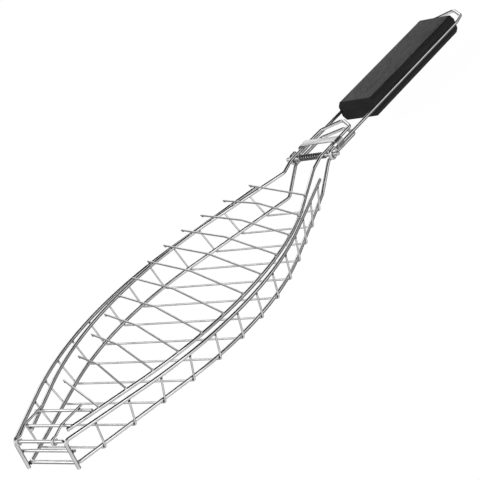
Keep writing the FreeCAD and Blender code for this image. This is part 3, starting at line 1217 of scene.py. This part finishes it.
@dataclass
class BasketBody(WeldedHalf):
    """The lower half: base wire, two rim wires, ribs, tail bars and the pin with its spring."""

    tail_bend: float = 3.0
    post_bend: float = 3.5
    rib_count: int = 13
    rib_top_gap: float = 0.25
    base_weld_share: float = 0.62
    rim_weld_drop: float = 0.1
    base_weld_offset: float = 1.1
    spring_turns: int = 11
    spring_gap: float = 0.1
    spring_sides: int = 12
    steps_a_turn: int = 40

    def build(self) -> None:
        """Builds and dresses every piece of the basket."""
        rib_routes = [self.rib_route(i) for i in range(self.rib_count)]
        self.add_tail_welds()
        wire = RoundWire(LEVELS.frame_r)
        self.finish("base_frame_wire", swept(wire, self.base_route()))
        for side, node in ((1, "rim_wire_right"), (-1, "rim_wire_left")):
            self.finish(node, swept(wire, self.rim_route(side)))
        rib = RoundWire(LEVELS.rib_r, self.rib_sides)
        for i, route in enumerate(rib_routes):
            self.finish(f"basket_rib_{i + 1:02d}", swept(rib, route))
        for node in ("hinge_bar", "tail_mid_bar"):
            self.finish(node, swept(*straight_bar(node)))
        # The brushed finish reads heat as wear, so the pin and the spring get none.
        self.workshop.stand_in("cross_pin", swept(*straight_bar("cross_pin"), WireEnd.DOMED))
        self.workshop.stand_in("pin_spring", swept(*self.spring()))
        self.finish_beads("basket", seed=3)

    def base_route(self) -> Route:
        """Closed loop: tail bar, leaf sides, climb at the neck and the lower tongue."""
        top = LEVELS.lower_tongue
        side = np.vstack(
            [
                BASE.corners(LEVELS.base),
                [(NECK.lower_x, NECK.climb_top, top), (NECK.lower_x, NECK.shoulder, top)],
            ]
        )
        start = np.array([[0.0, BASE.tail[0], LEVELS.base]])
        apex = np.array([[0.0, NECK.point, top]])
        bends = [self.tail_bend, BASE.radius, NECK.climb_bend, NECK.climb_bend, NECK.shoulder_bend]
        corners = np.vstack([start, side, apex, mirrored(side), start])
        return bent_route(corners, bends + [NECK.point_bend] + bends[::-1], self.step, closed=True)

    def rim_route(self, side: int) -> Route:
        """Post from the rest plane, then the leaf edge to its free end, on one side (1 or -1)."""
        foot = np.array([[RIM.tail[1], 0.0, 0.0]])
        corners = np.vstack([foot, RIM.corners(LEVELS.rim)]) * np.array([side, 1.0, 1.0])
        return bent_route(corners, [self.post_bend, RIM.radius], self.step)

    def rib_route(self, index: int) -> Route:
        """Flat under the base wires, bent round them and up to the underside of the rim.

        The upright run touches the circle that the rib's axis makes round the base wire, so
        its direction is the direction to the rim less the angle whose cosine is circle
        radius over distance.

        Args:
            index: which rib, from 0 at the tail.

        Returns:
            The route from the left end to the right one.
        """
        y = float(node_box(f"basket_rib_{index + 1:02d}").middle[1])
        bend = LEVELS.base - LEVELS.rib_r
        base_x = BASE.half_width(y)
        top = np.array([RIM.half_width(y), y, LEVELS.rim - LEVELS.frame_r - self.rib_top_gap])
        rise = math.hypot(top[0] - base_x, top[2] - LEVELS.base)
        to_top = math.atan2(top[2] - LEVELS.base, top[0] - base_x)
        turn = to_top - math.acos(bend / rise) + math.pi / 2
        right = np.array([(base_x + bend * math.tan(turn / 2), y, LEVELS.rib_r), top])
        self.add_rib_welds(base_x, y, turn, top, right)
        return bent_route(np.vstack([mirrored(right), right]), [bend] * 2, self.rib_step)

    def add_rib_welds(self, base_x: float, y: float, turn: float, top: Array, right: Array) -> None:
        """Welds where a rib goes round the base wire and where it ends under the rim.

        Args:
            base_x: half width of the base wire there.
            y: the rib's distance from the hinge bar.
            turn: how far the rib turns round the base wire.
            top: the rib's right end.
            right: the corner and the end of the rib's right half.
        """
        around_base = turn * self.base_weld_share
        outward = np.array([math.sin(around_base), 0.0, -math.cos(around_base)])
        base_weld = np.array([base_x, y, LEVELS.base]) + outward * LEVELS.frame_r
        around = np.cross(Y_AXIS, outward)
        upright = unit(right[1] - right[0])
        rim_weld = top - upright * self.rim_weld_drop
        for side in (1, -1):
            flip = np.array([side, 1.0, 1.0])
            self.welds.append(Weld(base_weld * flip, around * flip, Y_AXIS, BEADS.rib_on_base))
            self.welds.append(Weld(rim_weld * flip, upright * flip, Y_AXIS, BEADS.rib_under_rim))

    def add_tail_welds(self) -> None:
        """Welds of the hinge bar, mid bar and base wire to the posts, and of pin to tongue."""
        post_x = RIM.tail[1]
        bar_z = node_box("tail_mid_bar").middle[2]
        base_y = BASE.tail[0] - self.base_weld_offset
        under_pin = LEVELS.pin_z - LEVELS.pin_r
        for side in (1, -1):
            inner = side * (post_x - LEVELS.frame_r)
            spots = [
                ((inner, 0.0, LEVELS.rim), X_AXIS, Z_AXIS, BEADS.hinge_bar),
                ((side * post_x, LEVELS.frame_r, bar_z), X_AXIS, Z_AXIS, BEADS.tail_bar),
                ((inner, base_y, LEVELS.base), Z_AXIS, X_AXIS, BEADS.tail_bar),
                ((side * NECK.lower_x, LEVELS.pin_y, under_pin), X_AXIS, Y_AXIS, BEADS.pin),
            ]
            self.welds += [Weld(np.array(p), thin, heavy, size) for p, thin, heavy, size in spots]

    def spring(self) -> tuple[RoundWire, Route]:
        """Helix round the pin: (length s, radius cos a, radius sin a), from end to end of its box."""
        box = node_box("pin_spring")
        wire_r = (box.half[2] - LEVELS.pin_r - self.spring_gap) / 2
        coil_r = box.half[2] - wire_r
        share = np.linspace(0.0, 1.0, self.spring_turns * self.steps_a_turn + 1)
        angle = 2 * math.pi * self.spring_turns * share
        x = (box.low[0] + wire_r) + (2 * box.half[0] - 2 * wire_r) * share
        places = np.column_stack([x, coil_r * np.cos(angle), coil_r * np.sin(angle)])
        places += np.array([0.0, LEVELS.pin_y, LEVELS.pin_z])
        along = unit(np.gradient(places, axis=0))
        outward = np.column_stack([np.zeros_like(angle), np.cos(angle), np.sin(angle)])
        return RoundWire(wire_r, self.spring_sides), Route(places, along, outward)


# ---------------------------------------------------------------- the lid


@dataclass
class Lid(WeldedHalf):
    """The upper half: lid wire with its tongue, two bars, slanted ribs and two hinge hooks."""

    rib_count: int = 12
    slant: float = math.radians(23.1)
    ridge_bend: float = 9.0
    tip_rise: float = 0.8
    rise_y: float = 3.4
    top_lead: float = 1.5
    end_overhang: float = 3.6
    rise_bend: float = 3.0
    top_bend: float = 6.0
    hook_r: float = 0.9
    hook_sides: int = 16
    hook_step: float = 0.8
    left_hook_x: tuple[float, float] = (-20.4, -22.6)
    right_hook_x: tuple[float, float] = (14.6, 15.8)
    rib_weld_inset: float = 2.0
    outline_lean: float = 0.2

    def build(self) -> None:
        """Builds and dresses every piece of the lid."""
        ribs = {f"lid_rib_{i + 1:02d}": self.rib_route(i) for i in range(self.rib_count)}
        hooks = {
            "hinge_hook_left": self.hook_route(*self.left_hook_x),
            "hinge_hook_right": self.hook_route(*self.right_hook_x),
        }
        bars = ("lid_bar_front", "lid_bar_rear")
        self.add_bar_welds(bars)
        self.finish("lid_frame_wire", swept(RoundWire(LEVELS.frame_r), self.frame_route()))
        for node, route in ribs.items():
            self.finish(node, swept(RoundWire(LEVELS.rib_r, self.rib_sides), route))
        for node in bars:
            self.finish(node, swept(*straight_bar(node)))
        for node, route in hooks.items():
            self.finish(node, swept(RoundWire(self.hook_r, self.hook_sides), route))
        self.finish_beads("lid", seed=5)

    def frame_route(self) -> Route:
        """Leaf sides that lead up into the narrow tongue with its pointed end."""
        top = LEVELS.lid_tongue
        side = np.vstack(
            [
                LID.corners(LEVELS.lid),
                [(NECK.lid_x, NECK.lid_step, top), (NECK.lid_x, NECK.lid_shoulder, top)],
            ]
        )
        apex = np.array([[0.0, NECK.lid_point, top]])
        bends = [LID.radius, NECK.climb_bend, NECK.lid_bend, NECK.shoulder_bend]
        corners = np.vstack([side, apex, mirrored(side)])
        return bent_route(corners, bends + [NECK.point_bend] + bends[::-1], self.step)

    def rib_route(self, index: int) -> Route:
        """Slanted rib from its packed box, bent up at the centre line where the box is tall.

        The ends are drawn in from the box's sides by the wire's radius times the sine and
        cosine of the slant, because a slanted wire's end disc leans. The right side of the box
        sets both ends across the basket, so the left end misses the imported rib's by up to 16 mm:
        too far out at the neck, and too short at the tail.

        Args:
            index: which rib, from 0 at the tail.

        Returns:
            The route from the left end to the right one.
        """
        box = node_box(f"lid_rib_{index + 1:02d}")
        rib_r = LEVELS.rib_r
        reach = box.high[0] - rib_r * math.sin(self.slant)
        back = box.high[1] - rib_r * math.cos(self.slant)
        front = box.low[1] + rib_r * math.cos(self.slant)
        left = np.array([-reach, back, box.low[2] + rib_r])
        right = np.array([reach, front, box.low[2] + rib_r])
        self.add_rib_welds(left, right)
        rise = 2 * (box.half[2] - rib_r)
        if rise < rib_r:
            return bent_route(np.array([left, right]), [], self.rib_step)
        half_turn = math.atan2(rise, np.linalg.norm(right - left) / 2)
        lost = self.ridge_bend * (1 / math.cos(half_turn) - 1)
        ridge = (left + right) / 2 + Z_AXIS * (rise + lost)
        return bent_route(np.array([left, ridge, right]), [self.ridge_bend], self.rib_step)

    def add_rib_welds(self, left: Array, right: Array) -> None:
        """Beads a little in from a rib's left and right ends, on top of the lid wire's height."""
        along = unit(right - left)
        for end, inward in ((left, along), (right, -along)):
            place = end + inward * self.rib_weld_inset
            place[2] = LEVELS.lid + LEVELS.frame_r
            along_outline = np.array([self.outline_lean * np.sign(end[0]), 1.0, 0.0])
            self.welds.append(Weld(place, along, along_outline, BEADS.lid_rib))

    def add_bar_welds(self, bars: tuple[str, str]) -> None:
        """Welds of the bars to the lid wire, and of the hooks to the bars.

        Args:
            bars: the front and the rear bar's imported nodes.
        """
        for node in bars:
            bar = node_box(node)
            y, bar_top = bar.middle[1], bar.high[2]
            half = LID.half_width(y)
            for side in (1, -1):
                spot = np.array([side * half, y, LEVELS.lid + LEVELS.frame_r])
                self.welds.append(Weld(spot, X_AXIS, Y_AXIS, BEADS.lid_bar))
            for eye_x, end_x in (self.left_hook_x, self.right_hook_x):
                x = end_x if node == bars[1] else (eye_x + end_x) / 2
                self.welds.append(Weld(np.array([x, y, bar_top]), Y_AXIS, X_AXIS, BEADS.hook))

    def hook_route(self, eye_x: float, end_x: float) -> Route:
        """Three quarters of a ring round the hinge bar, a rise, and a run over both bars.

        Args:
            eye_x: where the ring stands across the basket.
            end_x: where the run ends.

        Returns:
            The route from the ring's tip to the run's end.
        """
        ring = LEVELS.hinge_r + LEVELS.run_gap + self.hook_r
        first, second = node_box("lid_bar_front"), node_box("lid_bar_rear")
        top = first.high[2] + LEVELS.weld_gap + self.hook_r
        hinge = LEVELS.rim
        corners = np.array(
            [
                (eye_x, ring, hinge + self.tip_rise),
                (eye_x, ring, hinge - ring),
                (eye_x, -ring, hinge - ring),
                (eye_x, -ring, hinge + ring),
                (eye_x, self.rise_y, hinge + ring),
                ((eye_x + end_x) / 2, first.middle[1] - self.top_lead, top),
                (end_x, second.middle[1] + self.end_overhang, top),
            ]
        )
        return bent_route(corners, [ring] * 3 + [self.rise_bend, self.top_bend], self.hook_step)


# ---------------------------------------------------------------- the handle and the clip


@dataclass
class Handle:
    """Handle wire with its two eyes and hanging loop, and the two wooden scales."""

    workshop: Workshop
    leg_x: float = 18.3
    leave_eye: float = 4.5
    reach_level: float = 7.2
    reach_leg: float = 9.6
    jog_bend: float = 1.6
    loop_leg: float = 3.0
    loop_leg_bend: float = 8.0
    shoulder: tuple[float, float] = (15.2, 613.0)
    shoulder_bend: float = 4.0
    point: float = 627.4
    point_bend: float = 3.0
    top_half_width: float = 16.2
    shoulder_height: float = 4.6
    edge_spread: float = 0.9
    wire_sides: int = 24
    step: float = 1.2
    scale_step: float = 2.0

    def build(self) -> None:
        """Builds and dresses the wire and the scales."""
        wire = swept(RoundWire(LEVELS.frame_r, self.wire_sides), self.wire_route())
        self.workshop.stand_in("handle_wire", wire)
        self.workshop.stand_in("grip_upper_scale", self.scale("grip_upper_scale", -X_AXIS))
        self.workshop.stand_in("grip_lower_scale", self.scale("grip_lower_scale", X_AXIS))

    def wire_route(self) -> Route:
        """Eye on the pin, jog to the leg, leg through the grip, loop, and back the same way."""
        ring = LEVELS.pin_r + LEVELS.run_gap + LEVELS.frame_r
        eye_x = node_box("handle_wire").half[0] - LEVELS.frame_r
        y, z = LEVELS.pin_y, LEVELS.pin_z
        grip_end = node_box("grip_upper_scale").high[1]
        leg = np.array(
            [
                (eye_x, y + ring, z),
                (eye_x, y + ring, z - ring),
                (eye_x, y - ring, z - ring),
                (eye_x, y - ring, z + ring),
                (eye_x, y + self.leave_eye, z + ring),
                (eye_x, y + self.reach_level, z),
                (self.leg_x, y + self.reach_leg, z),
                (self.leg_x, grip_end + self.loop_leg, z),
                (self.shoulder[0], self.shoulder[1], z),
            ]
        )
        bends = [ring] * 3 + [self.jog_bend] * 3 + [self.loop_leg_bend, self.shoulder_bend]
        corners = np.vstack([leg, [(0.0, self.point, z)], mirrored(leg)])
        return bent_route(corners, bends + [self.point_bend] + bends[::-1], self.step)

    def scale(self, node: str, side: Array) -> Surface:
        """One wooden scale: its section carried along the grip, with softly rounded ends.

        Args:
            node: the scale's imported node.
            side: first axis across the section, which decides whether the scale faces up.

        Returns:
            The scale, with its heat set to the wear along its edges.
        """
        box = node_box(node)
        height = 2 * box.half[2] + LEVELS.weld_gap
        section = ScaleSection(
            half_width=box.half[0],
            top_half_width=self.top_half_width,
            height=height,
            shoulder=self.shoulder_height,
            groove_x=self.leg_x,
            groove_r=LEVELS.frame_r + LEVELS.weld_gap,
            parting_gap=LEVELS.weld_gap,
        )
        ends = np.array([(0.0, box.low[1], LEVELS.pin_z), (0.0, box.high[1], LEVELS.pin_z)])
        surface = swept(section, bent_route(ends, [], self.scale_step, side=side), WireEnd.SOFT_EDGE)
        from_middle = np.abs(surface.points - np.array([0.0, box.middle[1], LEVELS.pin_z]))
        across, lengthwise, rise = from_middle.T
        to_end = box.half[1] - lengthwise
        to_top_edge = np.abs(across - self.top_half_width) + np.abs(rise - height)
        to_shoulder = np.abs(across - box.half[0]) + np.abs(rise - self.shoulder_height)
        nearest = np.minimum(np.minimum(to_end, to_top_edge), to_shoulder)
        surface.heat = np.exp(-((nearest / self.edge_spread) ** 2))
        return surface


@dataclass
class LockingClip:
    """Bent steel strip over the lid tongue, hooked round the two handle wires."""

    workshop: Workshop
    leg_x: float = 18.3
    thickness: float = 0.8
    slide_gap: float = 0.1
    corner_bend: float = 3.4
    hook_turn: float = math.radians(75.0)
    edge_r: float = 0.22
    edge_spread: float = 0.25
    step: float = 0.8

    def build(self) -> None:
        """Builds and dresses the clip."""
        box = node_box("locking_clip")
        strip = RolledStrip(2 * box.half[1], self.thickness, self.edge_r)
        surface = swept(strip, self.route(box), WireEnd.THIN_EDGE)
        to_edge = box.half[1] - np.abs(surface.points[:, 1] - box.middle[1])
        surface.heat = np.exp(-((to_edge / self.edge_spread) ** 2))
        self.workshop.stand_in("locking_clip", surface)

    def route(self, box: NodeBox) -> Route:
        """Up from one hook, over the tongue and down to the other hook, in one upright plane.

        Args:
            box: the clip's packed box.

        Returns:
            The route of the strip's middle, with the strip's width along Y.
        """
        strip_z = box.high[2] - self.thickness / 2
        hook_r = LEVELS.frame_r + self.slide_gap + self.thickness / 2
        outside = self.leg_x + hook_r
        bend_z = LEVELS.pin_z - hook_r * math.tan(self.hook_turn / 2)
        tip_x = self.leg_x + hook_r * math.cos(self.hook_turn)
        tip_z = LEVELS.pin_z - hook_r * math.sin(self.hook_turn)
        y = box.middle[1]
        half = np.array(
            [
                (outside, y, strip_z),
                (outside, y, bend_z),
                (tip_x, y, tip_z),
            ]
        )
        bends = [hook_r, self.corner_bend, self.corner_bend, hook_r]
        return bent_route(np.vstack([mirrored(half), half]), bends, self.step, side=Y_AXIS)


# ---------------------------------------------------------------- the studio


@dataclass(frozen=True)
class SoftBox:
    """One large soft lamp: where it stands, what it points at, its size and power."""

    name: str
    place: tuple[float, float, float]
    aim: tuple[float, float, float]
    size: tuple[float, float]
    power: float

    def build(self) -> None:
        """Adds the lamp."""
        lamp = bpy.data.lights.new(self.name, "AREA")
        lamp.shape = "RECTANGLE"
        lamp.size, lamp.size_y = self.size
        lamp.energy = self.power
        holder = bpy.data.objects.new(self.name, lamp)
        bpy.context.scene.collection.objects.link(holder)
        holder.location = self.place
        towards = Vector(self.aim) - Vector(self.place)
        holder.rotation_euler = towards.to_track_quat("-Z", "Y").to_euler()


@dataclass(frozen=True)
class WallPatch:
    """One soft-edged round patch of the studio's walls.

    It is full at core degrees from its middle or less, and gone at rim degrees.
    """

    towards: tuple[float, float, float]
    core: float
    rim: float
    brightness: float


@dataclass
class Studio:
    """Glowing pale table, walls in pale and dark patches for wires to mirror, lamps, camera."""

    camera_place: tuple[float, float, float] = (0.9118, -0.97525, 0.53705)
    camera_right: tuple[float, float, float] = (0.7531, 0.5206, -0.4023)
    camera_back: tuple[float, float, float] = (0.654, -0.6588, 0.3719)
    lens: float = 136.85
    sensor: float = 36.0
    floor_drop: float = 0.0004
    floor_glow: float = 0.97
    backdrop_glow: float = 1.0
    paint: Colour = (0.1, 0.1, 0.1, 1.0)
    wall: float = 0.42
    room_size: float = 40.0
    patches: tuple[WallPatch, ...] = (
        WallPatch((0.0, 0.0, -1.0), 76.0, 92.0, 0.36),
        WallPatch((0.65, -0.65, -0.45), 56.0, 86.0, 0.92),
        WallPatch((-0.65, 0.65, -0.37), 28.0, 50.0, 0.06),
        WallPatch((-0.45, 0.89, 0.1), 18.0, 34.0, 0.15),
        WallPatch((-0.95, 0.3, 0.0), 20.0, 38.0, 0.32),
        WallPatch((0.65, 0.66, -0.38), 14.0, 28.0, 0.15),
        WallPatch((0.93, -0.07, 0.3), 14.0, 26.0, 1.0),
        WallPatch((-0.65, -0.66, 0.37), 20.0, 34.0, 1.0),
        WallPatch((0.2, 0.1, 0.97), 41.0, 47.0, 0.0),
        WallPatch((-0.2, 0.6, 0.77), 19.0, 27.0, 0.02),
        WallPatch((0.4, 0.66, 0.63), 14.0, 20.0, 0.04),
        WallPatch((0.73, 0.65, 0.18), 17.0, 23.0, 1.1),
        WallPatch((-0.68, 0.64, 0.34), 10.0, 18.0, 1.7),
    )
    lamps: tuple[SoftBox, ...] = (
        SoftBox("right softbox", (2.0, -0.4, 1.0), (0.0, 0.0, 0.0), (1.2, 1.2), 4.5),
        SoftBox("front softbox", (-1.3, -1.5, 1.1), (0.0, 0.0, 0.0), (1.4, 1.2), 4.5),
    )

    def build(self) -> None:
        """Adds everything that isn't the object."""
        self.add_floor()
        self.add_backdrop()
        self.add_walls()
        for lamp in self.lamps:
            lamp.build()
        self.add_camera()
        bpy.context.scene.view_settings.view_transform = "Standard"

    def add_floor(self) -> None:
        """A plain pale sheet that glows, as a light table does, and isn't mirrored by wires."""
        half = self.room_size / 2
        ways = ((-1, -1), (1, -1), (1, 1), (-1, 1))
        corners = [(x * half, y * half, -self.floor_drop) for x, y in ways]
        floor = self.stage_piece("pale floor", corners, [(0, 1, 2, 3)], self.floor_glow)
        floor.visible_glossy = False

    def add_backdrop(self) -> None:
        """Plain pale walls and ceiling that only the camera sees, so that they mirror nowhere."""
        half = self.room_size / 2
        corners = [
            (x * half, y * half, z)
            for z in (-self.floor_drop, self.room_size)
            for x, y in ((-1, -1), (1, -1), (1, 1), (-1, 1))
        ]
        sides = [(i, (i + 1) % 4, 4 + (i + 1) % 4, 4 + i) for i in range(4)]
        backdrop = self.stage_piece("pale backdrop", corners, sides + [(4, 5, 6, 7)], self.backdrop_glow)
        backdrop.visible_glossy = False
        backdrop.visible_diffuse = False
        backdrop.visible_shadow = False

    def stage_piece(
        self,
        name: str,
        corners: list[tuple[float, float, float]],
        faces: list[tuple[int, ...]],
        glow: float,
    ) -> bpy.types.Object:
        """A plain pale flat-sided piece of the stage.

        Args:
            name: name of the piece and its material.
            corners: places in metres.
            faces: corner numbers of each face.
            glow: strength of its own light.

        Returns:
            The piece.
        """
        mesh = bpy.data.meshes.new(name)
        mesh.from_pydata(corners, [], faces)
        piece = bpy.data.objects.new(name, mesh)
        bpy.context.scene.collection.objects.link(piece)
        bench = NodeBench(name)
        bench.shade(Base_Color=self.paint, Roughness=0.9, Specular_IOR_Level=0.0)
        bench.shade(Emission_Color=(1.0, 1.0, 1.0, 1.0), Emission_Strength=glow)
        piece.data.materials.append(bench.material)
        return piece

    def add_walls(self) -> None:
        """World light: each patch in turn is laid over the walls by a smooth step.

        The step's value is the cosine of the angle between a direction and the patch's middle.
        """
        world = bpy.data.worlds.new("studio walls")
        bpy.context.scene.world = world
        world.use_nodes = True
        tree = world.node_tree
        tree.nodes.clear()
        direction = tree.nodes.new("ShaderNodeTexCoord").outputs["Generated"]
        background = tree.nodes.new("ShaderNodeBackground")
        output = tree.nodes.new("ShaderNodeOutputWorld")
        brightness = tree.nodes.new("ShaderNodeValue").outputs["Value"]
        brightness.default_value = self.wall
        for patch in self.patches:
            closeness = tree.nodes.new("ShaderNodeVectorMath")
            closeness.operation = "DOT_PRODUCT"
            closeness.inputs[1].default_value = tuple(unit(np.array(patch.towards)))
            step = tree.nodes.new("ShaderNodeMapRange")
            step.interpolation_type = "SMOOTHSTEP"
            step.inputs["From Min"].default_value = math.cos(math.radians(patch.rim))
            step.inputs["From Max"].default_value = math.cos(math.radians(patch.core))
            laid = tree.nodes.new("ShaderNodeMix")
            laid.inputs["B"].default_value = patch.brightness
            tree.links.new(direction, closeness.inputs[0])
            tree.links.new(closeness.outputs["Value"], step.inputs["Value"])
            tree.links.new(step.outputs["Result"], laid.inputs["Factor"])
            tree.links.new(brightness, laid.inputs["A"])
            brightness = laid.outputs["Result"]
        tree.links.new(brightness, background.inputs["Strength"])
        tree.links.new(background.outputs["Background"], output.inputs["Surface"])

    def add_camera(self) -> None:
        """A long lens, a little above the basket and in front of it to the right."""
        data = bpy.data.cameras.new("camera")
        data.lens = self.lens
        data.sensor_width = self.sensor
        camera = bpy.data.objects.new("camera", data)
        bpy.context.scene.collection.objects.link(camera)
        back = Vector(self.camera_back).normalized()
        up = back.cross(Vector(self.camera_right)).normalized()
        turn = Matrix((up.cross(back), up, back)).transposed().to_4x4()
        camera.matrix_world = Matrix.Translation(self.camera_place) @ turn
        bpy.context.scene.camera = camera


def main() -> None:
    """Builds the basket, lid, handle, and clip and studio."""
    logging.basicConfig(level=logging.INFO, format="%(message)s")
    workshop = Workshop()
    for assembly in (BasketBody(workshop), Lid(workshop), Handle(workshop), LockingClip(workshop)):
        assembly.build()
        LOG.info("%s done, %d pieces so far", type(assembly).__name__, workshop.count)
    Studio().build()


if __name__ == "__main__":
    main()
